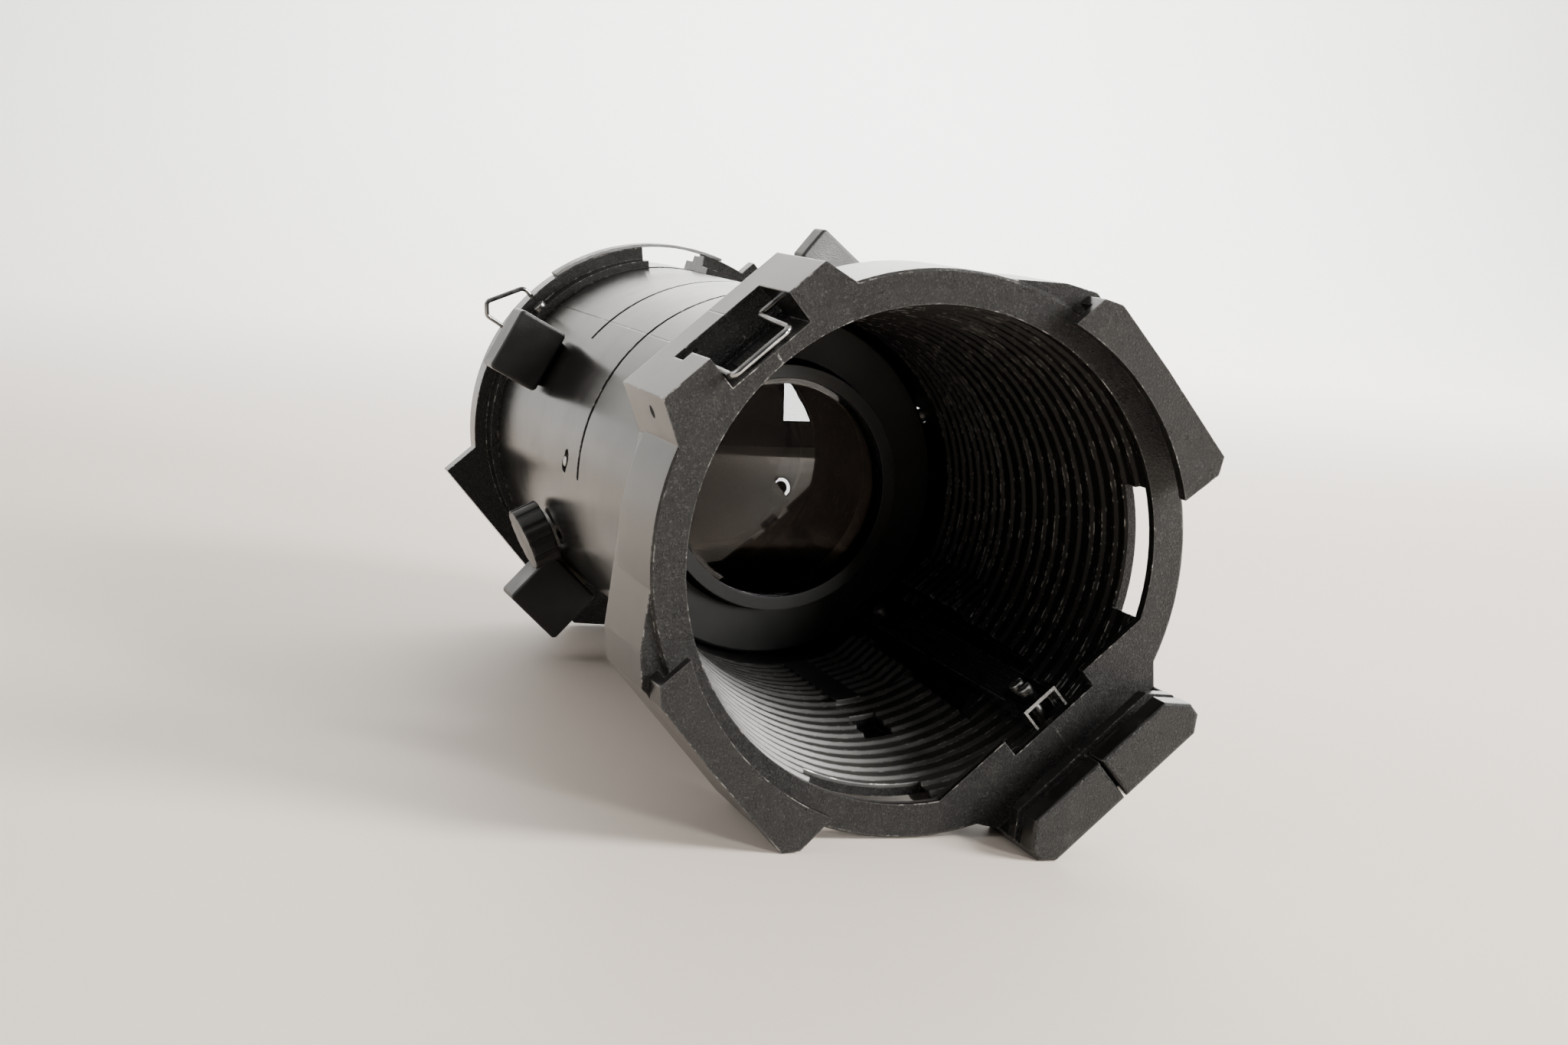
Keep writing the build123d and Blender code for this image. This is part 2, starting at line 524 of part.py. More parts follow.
# spring clip over the front end of the rail
with BuildPart() as rail_clip:
    with BuildSketch(across(CLIP_FRONT)):
        with Locations((RAIL_U, RAIL_TOP - 4 + CLIP_T)):
            Rectangle(RAIL_W + 2 * CLIP_T + 0.2, 8 + CLIP_T)
        with Locations((RAIL_U, RAIL_TOP - 5)):
            Rectangle(RAIL_W + 0.2, 10, mode=Mode.SUBTRACT)
    extrude(amount=-CLIP_LENGTH)
    with BuildSketch(across(CLIP_FRONT + CLIP_LENGTH - 1)):
        with Locations((RAIL_U, RAIL_TOP + CLIP_T / 2)):
            Rectangle(RAIL_W - 2, CLIP_T)
    extrude(amount=-(TONGUE_END - CLIP_FRONT - CLIP_LENGTH + 1))
    with BuildSketch(RAIL_SCREW_PLANE):
        with Locations(*[(depth, RAIL_SCREW_U) for depth in RAIL_SCREWS]):
            Circle(RAIL_SCREW_R)
    extrude(amount=4, mode=Mode.SUBTRACT)
finish(rail_clip.part, "rail_clip")

# ---------------------------------------------------------------- screws in the barrel
HEAD_R, HEAD_H = 2.7, 1.7


def screw(plane, head_r, head_h, shank_r, shank_length):
    """A slotted pan head in front of the plane, its shank behind it."""
    with BuildPart() as body:
        with BuildSketch(plane):
            Circle(head_r)
        extrude(amount=head_h)
        chamfer(body.faces().sort_by(Axis(plane.origin, plane.z_dir))[-1].edges(), 0.3)
        with BuildSketch(plane.offset(head_h)):
            Rectangle(0.25 * head_r, 2 * head_r + 1)
        extrude(amount=-0.45 * head_h, mode=Mode.SUBTRACT)
        with BuildSketch(plane):
            Circle(shank_r)
        extrude(amount=-shank_length)
    return body.part


def seat_plane(origin, out):
    return Plane(origin=origin, x_dir=(0, 1, 0), z_dir=out)


rail_screws = []
for depth in RAIL_SCREWS:
    seat = RAIL_TOP + (CLIP_T if depth < TONGUE_END else 0)
    rail_screws.append(screw(seat_plane(place(RAIL_SCREW_U, seat, depth), UP), HEAD_R, HEAD_H,
                             RAIL_SCREW_R, 16.5))
finish(Compound(children=rail_screws), "rail_screws")

seam_screws = []
for depth in SEAM_SCREWS:
    seam_screws.append(screw(seat_plane(place(RAIL_U + KEEL_HALF, SEAM_V, depth), RIGHT), 3.7, 2.6,
                             SEAM_SCREW_R, RAIL_U + KEEL_HALF + SEAM_DEEP - 1))
finish(Compound(children=seam_screws), "seam_screws")

side_seat = seat_plane(place(*polar(BARREL_R - 1.5, SIDE_SCREW_AZ), SIDE_SCREW_D), radial_dir(SIDE_SCREW_AZ))
finish(screw(side_seat, 2.2, 1.9, SIDE_SHANK_R, 1.8), "side_screw")

# ---------------------------------------------------------------- rear end: plate, ring, flange and gate
COLLAR_R, COLLAR_FRONT = 81.5, 326.0
RING_FRONT, FLANGE_FRONT = HOUSING_D + PLATE_T, 352.0
FLANGE_R, PLATE_BORE, GATE_SEAT_R = 83.0, 65.0, 68.0
BAY_START, BAY_END, BAY_R = 35.0, 56.0, 78.4        # open bay in the rim, under the band
FLANGE_SCREW_AZ = 22.5
LOOP_HOLES, LOOP_D, LOOP_R = (-4.0, -17.0), 340.0, 1.1


def bay():
    sector(BAY_R, 140.0, BAY_START, BAY_END)


with BuildPart() as housing_plate:
    with BuildSketch(across(HOUSING_D)):
        Circle(RING_OUT)
        Polygon((-PLATE_HALF, 48.5), (0, 48.5), (0, 30), (PLATE_HALF, 30), (PLATE_HALF, -PLATE_CUT),
                (PLATE_CUT, -PLATE_HALF), (-PLATE_CUT, -PLATE_HALF), (-PLATE_HALF, -PLATE_CUT), align=None)
        Circle(PLATE_BORE, mode=Mode.SUBTRACT)
    extrude(amount=-PLATE_T)
    with BuildSketch(across(COLLAR_FRONT)):
        Circle(COLLAR_R)
        Circle(BARREL_R + 0.05, mode=Mode.SUBTRACT)
        with Locations((RAIL_U, -80)):
            Rectangle(2 * KEEL_HALF + 0.6, 30, mode=Mode.SUBTRACT)
    extrude(amount=COLLAR_FRONT - HOUSING_D)
    with BuildSketch(across(COLLAR_FRONT - 1)):
        bay()
    extrude(amount=-30, mode=Mode.SUBTRACT)
    for azimuth in COLLAR_SCREWS:
        with BuildSketch(outward(azimuth, COLLAR_SCREW_D, BARREL_R - 1)):
            Circle(COLLAR_SCREW_R)
        extrude(amount=10, mode=Mode.SUBTRACT)
    for azimuth in LOOP_HOLES:
        with BuildSketch(outward(azimuth, LOOP_D, RING_OUT - 6)):
            Circle(LOOP_R)
        extrude(amount=10, mode=Mode.SUBTRACT)
    with BuildSketch(across(HOUSING_D + PLATE_T)):
        with PolarLocations(BOLT_CIRCLE / 2, 4, start_angle=FLANGE_SCREW_AZ):
            Circle(2.0)
    extrude(amount=PLATE_T - 2, mode=Mode.SUBTRACT)
finish(housing_plate.part, "housing_plate")

with BuildPart() as rear_ring:
    with BuildSketch(across(RING_FRONT)):
        Circle(RING_OUT - 1)
        Circle(GATE_SEAT_R, mode=Mode.SUBTRACT)
    extrude(amount=-(FLANGE_FRONT - RING_FRONT))
    with BuildSketch(across(RING_FRONT - 1)):
        bay()
        with PolarLocations(BOLT_CIRCLE / 2, 4, start_angle=FLANGE_SCREW_AZ):
            Circle(2.0)
        with PolarLocations(BOLT_CIRCLE / 2, 4):
            Circle(BOLT_R)
    extrude(amount=-20, mode=Mode.SUBTRACT)
finish(rear_ring.part, "rear_ring")

with BuildPart() as rear_flange:
    with BuildSketch(across(FLANGE_FRONT)):
        Circle(FLANGE_R)
        Circle(REAR_BORE_R, mode=Mode.SUBTRACT)
    extrude(amount=-(LENGTH - FLANGE_FRONT))
    with BuildSketch(across(FLANGE_FRONT - 1)):
        bay()
        with PolarLocations(BOLT_CIRCLE / 2, 4, start_angle=FLANGE_SCREW_AZ):
            Circle(2.0)
        with PolarLocations(BOLT_CIRCLE / 2, 4):
            Circle(BOLT_R)
    extrude(amount=-20, mode=Mode.SUBTRACT)
    with BuildSketch(across(LENGTH)):
        with PolarLocations(BOLT_CIRCLE / 2, 4, start_angle=FLANGE_SCREW_AZ):
            Circle(3.8)
    extrude(amount=4, mode=Mode.SUBTRACT)
finish(rear_flange.part, "rear_flange")

flange_screws = []
for index in range(4):
    angle = math.radians(FLANGE_SCREW_AZ + 90 * index)
    head = place(BOLT_CIRCLE / 2 * math.cos(angle), BOLT_CIRCLE / 2 * math.sin(angle), LENGTH - 4)
    flange_screws.append(screw(Plane(origin=head, x_dir=RIGHT, z_dir=(0, 1, 0)), 3.5, 3.2, 2.0, 19.0))
finish(Compound(children=flange_screws), "flange_screws")

collar_screws = []
for azimuth in COLLAR_SCREWS:
    head = place(*polar(COLLAR_R, azimuth), COLLAR_SCREW_D)
    collar_screws.append(screw(seat_plane(head, radial_dir(azimuth)), 3.0, 2.0, COLLAR_SCREW_R, 6.4))
finish(Compound(children=collar_screws), "collar_screws")

# gate: a thin plate with the beam opening, held in the ring by a spring ring
GATE_T, GATE_HOLE = 1.2, 39.0
finish(ring(RING_FRONT, GATE_HOLE, GATE_SEAT_R - 0.05, GATE_T), "gate_plate")
finish(ring(RING_FRONT + GATE_T, GATE_SEAT_R - 3, GATE_SEAT_R - 0.02, 2.0), "gate_ring")

# band that bridges the open bay in the rim
BAND_T, BAND_D, BAND_W = 1.4, 337.0, 9.0
with BuildPart() as ring_band:
    with BuildSketch(across(BAND_D)):
        sector(RING_OUT + 0.05, RING_OUT + 0.05 + BAND_T, 6.0, 62.0)
    extrude(amount=-BAND_W)
finish(ring_band.part, "ring_band")

# wire eye on the rim
with BuildPart() as wire_loop:
    with BuildLine() as loop_path:
        FilletPolyline(
            place(*polar(RING_OUT - 6, LOOP_HOLES[0]), LOOP_D),
            place(*polar(RING_OUT + 5, LOOP_HOLES[0]), LOOP_D),
            place(*polar(101, -14), LOOP_D), place(*polar(97, LOOP_HOLES[1]), LOOP_D),
            place(*polar(RING_OUT - 6, LOOP_HOLES[1]), LOOP_D), radius=(3.0, 2.2, 2.0))
    with BuildSketch(Plane(origin=loop_path.line @ 0, z_dir=loop_path.line % 0)):
        Circle(LOOP_R)
    sweep()
finish(wire_loop.part, "wire_loop")

# ---------------------------------------------------------------- shutters
GRIP_BURIED = 8.0       # length of blade neck inside its grip


def turned(azimuth, points):
    """Points given as (radius, sideways) along a direction round the tube, as (u, v)."""
    angle = math.radians(azimuth)
    return [(r * math.sin(angle) + t * math.cos(angle), r * math.cos(angle) - t * math.sin(angle))
            for r, t in points]


for name, azimuth, depth, front, pulled, start, reach, half in SHUTTERS:
    neck_end = start + GRIP_BURIED
    with BuildPart() as blade:
        with BuildSketch(across(depth - BLADE_T / 2)):
            Polygon(*turned(azimuth, [
                (BLADE_EDGE + pulled, -BLADE_HALF), (BLADE_SHOULDER + pulled, -BLADE_HALF),
                (BLADE_SHOULDER + pulled + 6, -BLADE_NECK), (neck_end + pulled, -BLADE_NECK),
                (neck_end + pulled, BLADE_NECK), (BLADE_SHOULDER + pulled + 6, BLADE_NECK),
                (BLADE_SHOULDER + pulled, BLADE_HALF), (BLADE_EDGE + pulled, BLADE_HALF)]), align=None)
        extrude(amount=-BLADE_T)
    finish(blade.part, f"{name}_shutter_blade")
    with BuildPart() as grip:
        with BuildSketch(across(front)):
            Polygon(*turned(azimuth, [
                (start + pulled, -half), (start + pulled + reach, -half),
                (start + pulled + reach, half), (start + pulled, half)]), align=None)
        extrude(amount=-(depth + 3 - front))
        fillet(grip.edges().filter_by(Axis.Y), 2.0)
        fillet(grip.faces().sort_by(Axis.Y)[0].edges(), 1.2)
        with BuildSketch(across(depth - BLADE_T / 2 - 0.05)):
            Polygon(*turned(azimuth, [
                (start + pulled - 1, -BLADE_NECK - 0.05), (neck_end + pulled + 0.05, -BLADE_NECK - 0.05),
                (neck_end + pulled + 0.05, BLADE_NECK + 0.05), (start + pulled - 1, BLADE_NECK + 0.05)]),
                align=None)
        extrude(amount=-BLADE_T - 0.1, mode=Mode.SUBTRACT)
    finish(grip.part, f"{name}_shutter_grip")
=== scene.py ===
"""Looks for the zoom lens tube of a stage spotlight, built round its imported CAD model.

Metres, in the row's frame: the optical axis is Y, the mouth faces -Y, +Z is up.
"""

import json
import math

import bpy
from mathutils import Matrix, Vector


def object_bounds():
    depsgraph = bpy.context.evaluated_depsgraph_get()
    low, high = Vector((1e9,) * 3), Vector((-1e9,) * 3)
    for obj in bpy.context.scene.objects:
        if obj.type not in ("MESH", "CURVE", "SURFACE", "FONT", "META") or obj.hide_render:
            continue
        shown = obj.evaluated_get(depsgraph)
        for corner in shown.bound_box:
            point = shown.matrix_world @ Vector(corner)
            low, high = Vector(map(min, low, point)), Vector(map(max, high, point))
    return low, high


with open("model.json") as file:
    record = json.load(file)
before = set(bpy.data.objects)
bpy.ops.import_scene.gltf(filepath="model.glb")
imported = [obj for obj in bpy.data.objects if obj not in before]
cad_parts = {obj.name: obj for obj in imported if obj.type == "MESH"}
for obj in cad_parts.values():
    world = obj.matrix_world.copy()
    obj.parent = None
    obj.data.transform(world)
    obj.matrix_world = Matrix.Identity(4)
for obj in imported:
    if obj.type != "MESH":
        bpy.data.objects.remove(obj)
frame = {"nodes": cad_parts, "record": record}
CAD_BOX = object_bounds()
NODES = frame["nodes"]
SCENE = bpy.context.scene

# ---------------------------------------------------------------- places
ROLL = math.radians(43.0)
RIGHT = Vector((math.cos(ROLL), 0, math.sin(ROLL)))
UP = Vector((-math.sin(ROLL), 0, math.cos(ROLL)))
LENGTH = 0.362
MOUTH_Y = -LENGTH
FLOOR_Z = CAD_BOX[0].z


def place(u, v, depth):
    """A point given in mm across the tube, up the tube and behind the mouth face."""
    return (RIGHT * u + UP * v) / 1000 + Vector((0, depth / 1000 - LENGTH, 0))


HEAD_HOLE, HEAD_HOLE_R = place(-41.5, 98.1, 20.2), 0.0022     # small hole beside the latch block, drawn as a spot of painted shade


# ---------------------------------------------------------------- material helpers
def new_material(name):
    material = bpy.data.materials.new(name)
    material.use_nodes = True
    return material


class Nodes:
    """Short calls that add nodes to one material."""

    def __init__(self, material):
        self.material = material
        self.tree = material.node_tree
        self.shader = self.tree.nodes["Principled BSDF"]
        self.coords = self.tree.nodes.new("ShaderNodeTexCoord")

    def link(self, source, target):
        self.tree.links.new(source, target)

    def feed(self, socket, value):
        if hasattr(value, "is_linked"):
            self.link(value, socket)
        else:
            socket.default_value = value

    @property
    def place(self):
        return self.coords.outputs["Object"]

    def noise(self, scale, detail=4.0, rough=0.5, vector=None, distortion=0.0):
        node = self.tree.nodes.new("ShaderNodeTexNoise")
        self.link(vector or self.place, node.inputs["Vector"])
        node.inputs["Scale"].default_value = scale
        node.inputs["Detail"].default_value = detail
        node.inputs["Roughness"].default_value = rough
        node.inputs["Distortion"].default_value = distortion
        return node.outputs["Fac"]

    def cells(self, scale, smooth):
        node = self.tree.nodes.new("ShaderNodeTexVoronoi")
        node.feature = "SMOOTH_F1"
        self.link(self.place, node.inputs["Vector"])
        node.inputs["Scale"].default_value = scale
        node.inputs["Smoothness"].default_value = smooth
        return node.outputs["Distance"]

    def math(self, operation, a, b=0.0):
        node = self.tree.nodes.new("ShaderNodeMath")
        node.operation = operation
        self.feed(node.inputs[0], a)
        self.feed(node.inputs[1], b)
        return node.outputs[0]

    def times(self, a, b):
        return self.math("MULTIPLY", a, b)

    def spread(self, value, low, high, to_low=0.0, to_high=1.0):
        node = self.tree.nodes.new("ShaderNodeMapRange")
        node.clamp = True
        self.feed(node.inputs["Value"], value)
        self.feed(node.inputs["From Min"], low)
        self.feed(node.inputs["From Max"], high)
        self.feed(node.inputs["To Min"], to_low)
        self.feed(node.inputs["To Max"], to_high)
        return node.outputs["Result"]

    def mix(self, factor, a, b):
        node = self.tree.nodes.new("ShaderNodeMix")
        node.data_type = "RGBA"
        self.feed(node.inputs["Factor"], factor)
        self.feed(node.inputs["A"], a)
        self.feed(node.inputs["B"], b)
        return node.outputs["Result"]

    def blend(self, factor, a, b):
        node = self.tree.nodes.new("ShaderNodeMix")
        self.feed(node.inputs["Factor"], factor)
        self.feed(node.inputs["A"], a)
        self.feed(node.inputs["B"], b)
        return node.outputs["Result"]

    def stretch(self, scale):
        node = self.tree.nodes.new("ShaderNodeMapping")
        self.link(self.place, node.inputs["Vector"])
        node.inputs["Scale"].default_value = scale
        return node.outputs["Vector"]

    def split(self, vector=None):
        node = self.tree.nodes.new("ShaderNodeSeparateXYZ")
        self.link(vector or self.place, node.inputs["Vector"])
        return node.outputs["X"], node.outputs["Y"], node.outputs["Z"]

    def radius(self):
        """Distance from the optical axis."""
        x, _, z = self.split()
        return self.math("SQRT", self.math("ADD", self.times(x, x), self.times(z, z)))

    def rounded(self, width):
        """The shading normal with edges rounded to width, and a mask of the edges themselves."""
        bevel = self.tree.nodes.new("ShaderNodeBevel")
        bevel.samples = 6
        bevel.inputs["Radius"].default_value = width
        plain = self.tree.nodes.new("ShaderNodeNewGeometry")
        dot = self.tree.nodes.new("ShaderNodeVectorMath")
        dot.operation = "DOT_PRODUCT"
        self.link(bevel.outputs["Normal"], dot.inputs[0])
        self.link(plain.outputs["Normal"], dot.inputs[1])
        return bevel.outputs["Normal"], self.spread(dot.outputs["Value"], EDGE_BEGINS, EDGE_FULL)

    def near(self, point, size):
        """1 within size of a point, falling to 0 just outside it."""
        away = self.tree.nodes.new("ShaderNodeVectorMath")
        away.operation = "DISTANCE"
        self.link(self.place, away.inputs[0])
        away.inputs[1].default_value = point
        return self.spread(away.outputs["Value"], size * 1.15, size * 0.85)

    def bump(self, *layers, normal=None):
        """Bumps one on another: each layer is (height, strength, distance)."""
        for height, strength, distance in layers:
            node = self.tree.nodes.new("ShaderNodeBump")
            self.feed(node.inputs["Strength"], strength)
            node.inputs["Distance"].default_value = distance
            self.link(height, node.inputs["Height"])
            if normal is not None:
                self.link(normal, node.inputs["Normal"])
            normal = node.outputs["Normal"]
        self.link(normal, self.shader.inputs["Normal"])

    def set(self, **values):
        for name, value in values.items():
            self.feed(self.shader.inputs[name.replace("_", " ")], value)


def facing_front(make):
    """1 on faces that look out of the mouth."""
    normal = make.tree.nodes.new("ShaderNodeTexCoord").outputs["Normal"]
    _, y, _ = make.split(normal)
    return make.spread(y, -0.55, -0.8)


# ---------------------------------------------------------------- materials
# Colours, in pairs where a pattern runs from one to the other.
COAT = (0.0060, 0.0058, 0.0056, 1), (0.0120, 0.0115, 0.0110, 1)
BORE_BLACK = (0.0030, 0.0030, 0.0030, 1), (0.0090, 0.0082, 0.0074, 1)
# painted light: the second pair is pale, for the lit ribs low on the left of the bore
BORE_PAINTED_LIGHT = (0.0080, 0.0078, 0.0075, 1), (0.0600, 0.0570, 0.0530, 1)
CARRIAGE_COAT = (0.0045, 0.0043, 0.0041, 1), (0.0100, 0.0095, 0.0090, 1)
CARRIAGE_EDGE = (0.07, 0.067, 0.064, 1)
ANODISED = (0.006, 0.006, 0.0065, 1), (0.018, 0.018, 0.018, 1)
PLASTIC = (0.0060, 0.0060, 0.0065, 1), (0.0130, 0.0130, 0.0135, 1)
PLASTIC_EDGE = (0.09, 0.09, 0.09, 1)
# painted shade: the lens glass is tinted dark for the shaded tube behind it
GLASS_SHADE_TINT = (0.26, 0.22, 0.19, 1), (0.16, 0.14, 0.12, 1)
STRIP_GREY = (0.02, 0.02, 0.02, 1), (0.09, 0.088, 0.085, 1)
BARE = (0.50, 0.48, 0.45, 1)            # bare metal where the coat has chipped
DUST = (0.20, 0.18, 0.155, 1)
RUBBED = (0.16, 0.155, 0.15, 1)         # coat rubbed thin along an edge
SPECK_HIGHLIGHT = (0.075, 0.072, 0.068, 1)        # raised grain of the coat on front faces, its peaks painted pale as highlights
# painted shade: black for the inside of the small hole, which the geometry lacks
HOLE_PAINTED_SHADE = (0.001, 0.001, 0.001, 1)

# Widths of rounded edges, and how far a normal turns (as a cosine) where an edge begins and is full.
EDGE_W, THIN_EDGE_W, SHARP_EDGE_W, GRIP_EDGE_W = 0.0009, 0.0006, 0.0005, 0.0014
EDGE_BEGINS, EDGE_FULL = 0.985, 0.86

# Where the casting changes its look, and its specular level in each place.
CAVITY_FRONT, CAVITY_REAR = 0.0888, 0.0764      # radius just outside the bore, at each end of its taper
CAVITY_START_Y, NARROWED_Y = MOUTH_Y + 0.004, MOUTH_Y + 0.090
RING_FACE_T = 0.002                     # the mouth ring's face counts as outside down to here
LOW_LEFT_BEGINS, LOW_LEFT_FULL = 0.01, -0.06
SIDE_SHINE, FRONT_SHINE, BORE_SHINE, LOW_BORE_SHINE = 0.38, 0.34, 0.12, 0.55

COATED_IOR = 1.30                       # below that of plain glass, as a coating weakens its reflections


def casting_material():
    """Black coat: coarse on front faces with the grain's peaks painted pale as highlights, glossy on the
    sides, worn at the edges, painted lighter low on the left of the bore where light falls on the ribs.
    """
    make = Nodes(new_material("casting_coat"))
    x, y, z = make.split()
    lower_left = make.spread(make.math("ADD", make.times(x, 0.7), z), LOW_LEFT_BEGINS, LOW_LEFT_FULL)
    bore = make.spread(y, CAVITY_START_Y, NARROWED_Y, CAVITY_FRONT, CAVITY_REAR)
    inside = make.times(make.math("LESS_THAN", make.radius(), bore),
                        make.math("GREATER_THAN", y, MOUTH_Y + RING_FACE_T))
    front = make.times(facing_front(make), make.math("SUBTRACT", 1.0, inside))
    normal, edge = make.rounded(EDGE_W)
    grain = make.cells(1250, smooth=0.2)
    lumps = make.noise(1300, 4.0, 0.75, distortion=0.4)
    fine = make.noise(2600, 2.0, 0.5)
    patches = make.noise(28, 5.0, 0.6)
    smudge = make.noise(90, 6.0, 0.65, distortion=0.6)
    chips = make.times(edge, make.spread(make.noise(190, 6.0, 0.7), 0.54, 0.60))
    rub = make.times(edge, make.spread(make.noise(45, 4.0, 0.6), 0.35, 0.60))
    coat = make.mix(patches, *COAT)
    coat = make.mix(make.times(make.spread(smudge, 0.55, 0.80), 0.10), coat, DUST)
    coat = make.mix(make.times(rub, 0.35), coat, RUBBED)
    # painted light: the lower left of the bore is made pale where light falls on the ribs
    bore_coat = make.mix(lower_left, make.mix(smudge, *BORE_BLACK), make.mix(smudge, *BORE_PAINTED_LIGHT))
    coat = make.mix(inside, coat, bore_coat)
    # painted highlights: the peaks of the grain on front faces are made pale
    speck_highlights = make.times(front, make.spread(lumps, 0.54, 0.64))
    coat = make.mix(make.times(speck_highlights, 0.7), coat, SPECK_HIGHLIGHT)
    coat = make.mix(chips, coat, BARE)
    # painted shade: a black spot where the small hole in the head is
    hole_shade = make.near(HEAD_HOLE, HEAD_HOLE_R)
    coat = make.mix(hole_shade, coat, HOLE_PAINTED_SHADE)
    rough = make.math("ADD", make.spread(patches, 0.3, 0.7, 0.15, 0.22), make.times(front, 0.08))
    rough = make.math("ADD", rough, make.times(inside, 0.16))
    rough = make.math("ADD", rough, make.times(smudge, 0.06))
    shine = make.blend(inside, SIDE_SHINE, make.blend(lower_left, BORE_SHINE, LOW_BORE_SHINE))
    make.set(Base_Color=coat, Roughness=make.blend(hole_shade, rough, 0.9),
             Metallic=make.times(chips, 0.9),
             Specular_IOR_Level=make.blend(front, shine, FRONT_SHINE))
    make.bump((grain, make.times(front, 0.90), 0.0010),
              (lumps, make.blend(front, 0.03, 1.0), 0.0012),
              (fine, make.blend(front, 0.02, 0.15), 0.00012), normal=normal)
    return make.material


def carriage_material():
    """Matte black on turned metal, a shade lighter at the edges."""
    make = Nodes(new_material("carriage_coat"))
    patches = make.noise(60, 5.0, 0.6)
    rings = make.noise(1.0, 3.0, 0.5, vector=make.stretch((60, 900, 60)))
    normal, edge = make.rounded(THIN_EDGE_W)
    coat = make.mix(patches, *CARRIAGE_COAT)
    make.set(Base_Color=make.mix(make.times(edge, 0.3), coat, CARRIAGE_EDGE),
             Roughness=make.spread(patches, 0.3, 0.7, 0.34, 0.48), Specular_IOR_Level=0.25)
    make.bump((rings, 0.12, 0.0002), (make.noise(1500, 3.0), 0.12, 0.0002), normal=normal)
    return make.material


def rail_material():
    """Black anodised, streaked lengthways, with bare metal where its edges have worn."""
    make = Nodes(new_material("rail_anodised"))
    streaks = make.noise(1.0, 5.0, 0.6, vector=make.stretch((900, 14, 900)))
    normal, edge = make.rounded(SHARP_EDGE_W)
    wear = make.times(edge, make.spread(make.noise(120, 5.0), 0.45, 0.6))
    coat = make.mix(streaks, *ANODISED)
    make.set(Base_Color=make.mix(wear, coat, BARE), Roughness=make.spread(streaks, 0.3, 0.7, 0.18, 0.30),
             Metallic=make.times(wear, 0.8))
    make.bump((streaks, 0.15, 0.0002), normal=normal)
    return make.material


def plastic_material():
    """Moulded black with a faint leather grain, rubbed paler at the edges."""
    make = Nodes(new_material("moulded_black"))
    cloud = make.noise(70, 5.0, 0.6)
    leather = make.cells(1500, smooth=0.5)
    normal, edge = make.rounded(GRIP_EDGE_W)
    shine = make.times(edge, make.spread(make.noise(110, 4.0), 0.4, 0.65))
    colour = make.mix(cloud, *PLASTIC)
    make.set(Base_Color=make.mix(make.times(shine, 0.3), colour, PLASTIC_EDGE),
             Roughness=make.spread(cloud, 0.3, 0.7, 0.32, 0.46))
    make.bump((leather, 0.15, 0.0003), (make.noise(220, 3.0), 0.06, 0.0006), normal=normal)
    return make.material


def steel_material(name, colour, low, high, streak, stain=None):
    """Steel whose roughness runs from low to high along streaks, darker in patches and stained if asked."""
    make = Nodes(new_material(name))
    grain = make.noise(1.0, 5.0, 0.6, vector=make.stretch(streak))
    cloud = make.noise(80, 5.0, 0.6)
    dark = tuple(c * 0.45 for c in colour[:3]) + (1,)
    base = make.mix(make.spread(cloud, 0.4, 0.7), colour, dark)
    if stain:
        base = make.mix(make.spread(make.noise(35, 4.0, 0.6), 0.45, 0.62), base, stain)
    make.set(Base_Color=base, Metallic=1.0, Roughness=make.spread(grain, 0.3, 0.7, low, high))
    make.bump((grain, 0.12, 0.0002))
    return make.material


def glass_material():
    """Coated glass, tinted dark as painted shade for the depth of the tube behind it, with faint smears."""
    make = Nodes(new_material("lens_glass"))
    smear = make.noise(55, 5.0, 0.65, distortion=1.2)
    make.set(Base_Color=make.mix(smear, *GLASS_SHADE_TINT), Roughness=0.0, Transmission_Weight=1.0,
             IOR=COATED_IOR)
    return make.material


def band_material():
    """Blotchy grey over black, bare at the worn edges."""
    make = Nodes(new_material("worn_grey_strip"))
    cloud = make.noise(120, 6.0, 0.65)
    normal, edge = make.rounded(THIN_EDGE_W)
    wear = make.times(edge, make.spread(make.noise(200, 5.0), 0.45, 0.6))
    colour = make.mix(make.spread(cloud, 0.35, 0.7), *STRIP_GREY)
    make.set(Base_Color=make.mix(wear, colour, BARE), Roughness=make.spread(cloud, 0.3, 0.7, 0.30, 0.5))
    make.bump((cloud, 0.2, 0.0003), normal=normal)
    return make.material


SLOT_MATERIALS = {
    "casting_black": casting_material(),
    "carriage_black": carriage_material(),
    "rail_black": rail_material(),
    "plastic_black": plastic_material(),
    "wire_steel": steel_material("bright_wire", (0.34, 0.34, 0.34, 1), 0.12, 0.26, (500, 500, 500)),
    "spring_steel": steel_material("spring_steel", (0.13, 0.13, 0.128, 1), 0.20, 0.36, (900, 60, 900)),
    "screw_steel": steel_material("zinc_screw", (0.55, 0.55, 0.53, 1), 0.25, 0.42, (600, 600, 600)),
    "blade_steel": steel_material("stained_blade", (0.13, 0.115, 0.10, 1), 0.30, 0.48, (60, 900, 60),
                                  stain=(0.09, 0.06, 0.045, 1)),
    "lens_glass": glass_material(),
    "band_grey": band_material(),
}
SLOT_OF = {part["node"]: part["material_slot"] for part in frame["record"]["subparts"]}

for node, obj in NODES.items():
    material = SLOT_MATERIALS[SLOT_OF[node]]
    if not obj.material_slots:
        obj.data.materials.append(material)
    for slot in obj.material_slots:
        slot.material = material


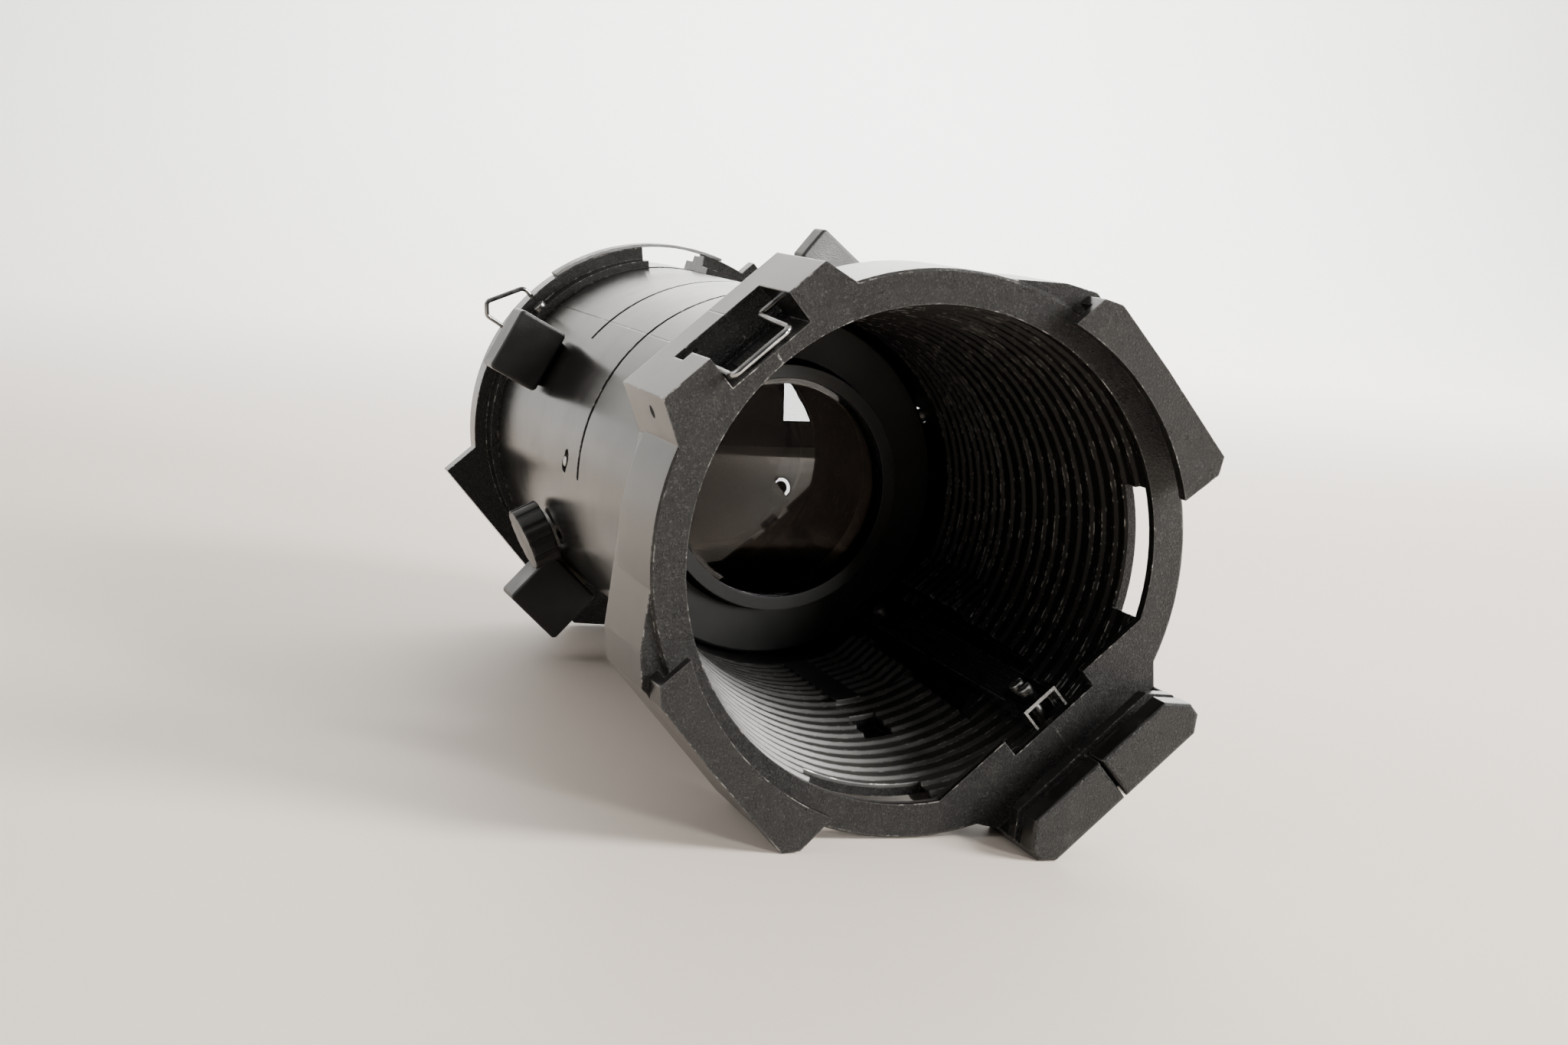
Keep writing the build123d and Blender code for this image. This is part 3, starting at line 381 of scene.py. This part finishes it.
# ---------------------------------------------------------------- room, light and camera
FLOOR_WARM = (0.68, 0.60, 0.52, 1), (0.74, 0.66, 0.58, 1)
FLOOR_FAR = (0.90, 0.89, 0.87, 1)
FADE_START_Y, FADE_END_Y = 0.5, 2.4
WORLD_COLOUR = (1.0, 0.97, 0.93, 1)
WORLD_DARK_Y, WORLD_PALE_Y = -0.85, 0.1         # Y part of the direction looked in
CAMERA_AT = (-0.3099, -1.0344, 0.1222)
CAMERA_TURN = 20.8, -8.79, 5.344                # azimuth, elevation and roll in degrees
CAMERA_LENS, CAMERA_SENSOR = 50.01, 36.0


def stage_material():
    """Warm and pale round the object, close to white at the back."""
    make = Nodes(new_material("pale_floor"))
    _, y, _ = make.split()
    cloud = make.noise(3, 3.0)
    fade = make.spread(y, FADE_START_Y, FADE_END_Y)
    make.set(Base_Color=make.mix(fade, make.mix(cloud, *FLOOR_WARM), FLOOR_FAR), Roughness=0.6)
    return make.material


def floor_with_wall():
    """A pale floor that curves up into a wall well behind the object."""
    half_width, front, back, rise, bend, steps = 6.0, -4.0, 2.6, 4.0, 0.8, 16
    outline = [(front, 0.0)]
    for step in range(steps + 1):
        angle = math.pi / 2 * step / steps
        outline.append((back - bend + bend * math.sin(angle), bend - bend * math.cos(angle)))
    outline.append((back, rise))
    mesh = bpy.data.meshes.new("floor")
    points = [(side * half_width, y, FLOOR_Z + z) for y, z in outline for side in (-1, 1)]
    faces = [(2 * i, 2 * i + 1, 2 * i + 3, 2 * i + 2) for i in range(len(outline) - 1)]
    mesh.from_pydata(points, [], faces)
    for face in mesh.polygons:
        face.use_smooth = True
    mesh.materials.append(stage_material())
    obj = bpy.data.objects.new("floor", mesh)
    SCENE.collection.objects.link(obj)


def softbox(name, at, target, size, power, colour=(1, 1, 1)):
    """A rectangular light at one point, turned towards another."""
    data = bpy.data.lights.new(name, "AREA")
    data.shape = "RECTANGLE"
    data.size, data.size_y = size
    data.energy = power
    data.color = colour
    obj = bpy.data.objects.new(name, data)
    obj.location = at
    obj.rotation_euler = (Vector(target) - Vector(at)).to_track_quat("-Z", "Y").to_euler()
    SCENE.collection.objects.link(obj)


def world_light(in_front, behind):
    """A pale room, darker on the camera's side than behind and beside the object."""
    world = bpy.data.worlds.new("studio")
    world.use_nodes = True
    nodes, links = world.node_tree.nodes, world.node_tree.links
    background = nodes["Background"]
    background.inputs["Color"].default_value = WORLD_COLOUR
    way = nodes.new("ShaderNodeTexCoord")
    parts = nodes.new("ShaderNodeSeparateXYZ")
    shade = nodes.new("ShaderNodeMapRange")
    shade.inputs["From Min"].default_value = WORLD_DARK_Y
    shade.inputs["From Max"].default_value = WORLD_PALE_Y
    shade.inputs["To Min"].default_value = in_front
    shade.inputs["To Max"].default_value = behind
    links.new(way.outputs["Generated"], parts.inputs[0])
    links.new(parts.outputs["Y"], shade.inputs["Value"])
    links.new(shade.outputs["Result"], background.inputs["Strength"])
    SCENE.world = world


def add_camera():
    """A 50 mm lens on a 36 mm wide sensor, 0.75 m from the mouth, a little above and left of it."""
    azimuth, elevation, roll = (math.radians(angle) for angle in CAMERA_TURN)
    data = bpy.data.cameras.new("camera")
    data.lens, data.sensor_width = CAMERA_LENS, CAMERA_SENSOR
    obj = bpy.data.objects.new("camera", data)
    obj.location = CAMERA_AT
    look = Vector((math.sin(azimuth) * math.cos(elevation), math.cos(azimuth) * math.cos(elevation),
                   math.sin(elevation)))
    upright = look.to_track_quat("-Z", "Y").to_matrix()
    obj.rotation_euler = (upright @ Matrix.Rotation(roll, 3, "Z")).to_euler()
    SCENE.collection.objects.link(obj)
    SCENE.camera = obj


floor_with_wall()
world_light(0.10, 0.95)
softbox("key", (1.35, -1.15, 0.95), (0, -0.25, 0), (0.7, 0.7), 78, (1.0, 0.98, 0.95))
softbox("window", (0.85, -2.1, 0.32), (0, -0.2, 0), (0.30, 0.42), 44, (1.0, 0.99, 0.97))
softbox("left_fill", (-1.7, -0.2, 1.1), (0, -0.2, 0), (1.4, 1.2), 10, (0.97, 0.98, 1.0))
softbox("back_wash", (1.3, 1.5, 1.9), (1.6, 2.3, 0.5), (2.0, 1.0), 190)
add_camera()
